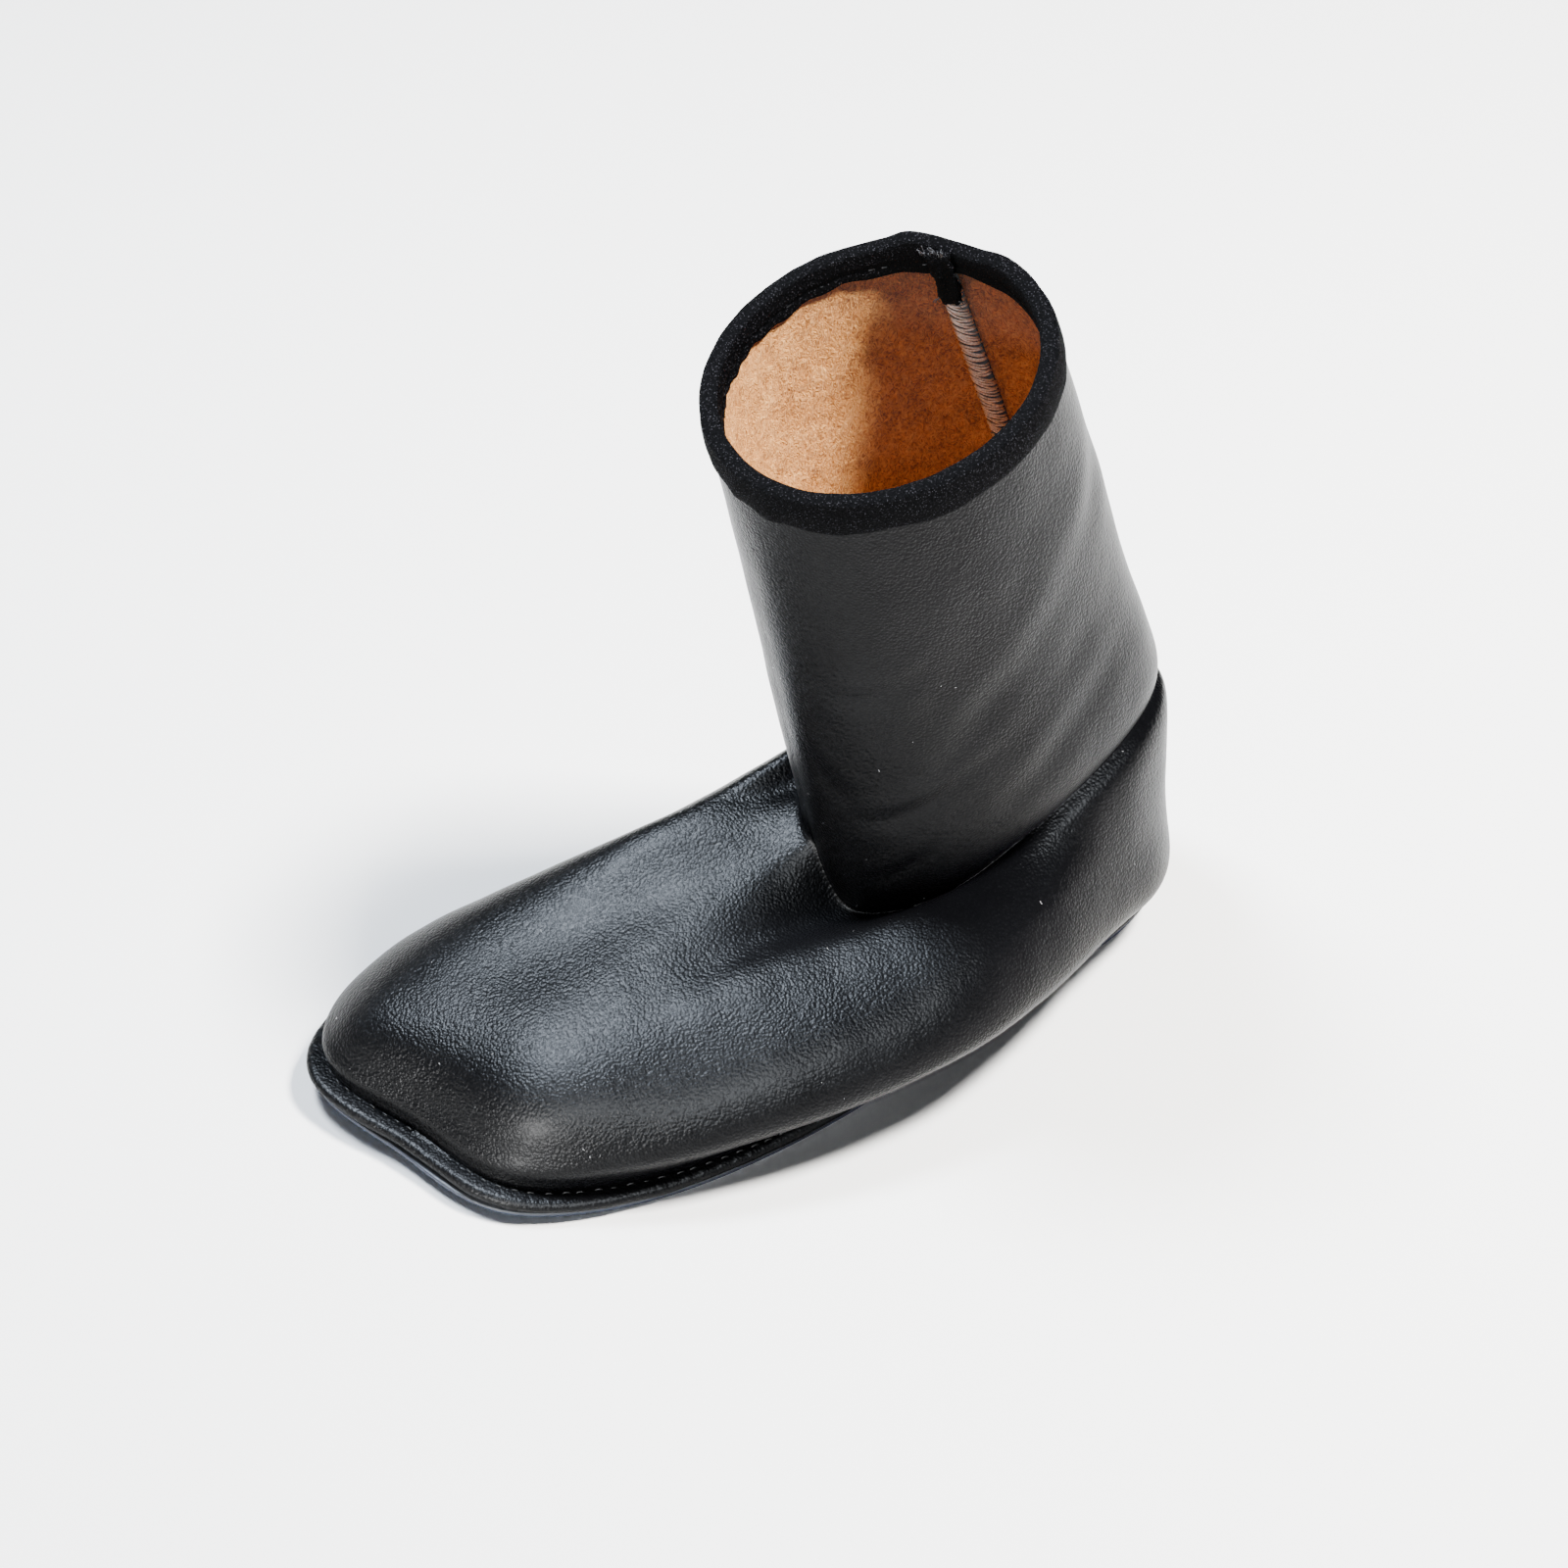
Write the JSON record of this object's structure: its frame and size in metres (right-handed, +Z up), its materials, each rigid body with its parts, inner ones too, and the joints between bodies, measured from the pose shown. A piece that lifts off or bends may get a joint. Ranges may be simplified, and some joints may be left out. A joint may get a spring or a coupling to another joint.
{
  "type": "sock boot",
  "caption": "Pull-on sock boot in black leather with a fleece lining, a knitted collar binding and a soft rolled-edge sole.",
  "frame": {"origin": "on the floor under the middle of the heel, at the outsole's flat heel face", "axes": "+Z up, the toe points along -Y, +X is the outer side of the foot"},
  "size_m": [0.1453, 0.2929, 0.2523],
  "materials": {
    "black_leather": "satin",
    "sole_leather": "satin",
    "outsole_rubber": "matte",
    "knit": "matte",
    "fleece": "matte"
  },
  "bodies": {
    "root": {"upper": "black_leather", "sole": "sole_leather", "outsole": "outsole_rubber", "insole": "fleece", "collar_binding": "knit", "back_seam": "fleece", "binding_tail": "knit"}
  },
  "joints": []
}
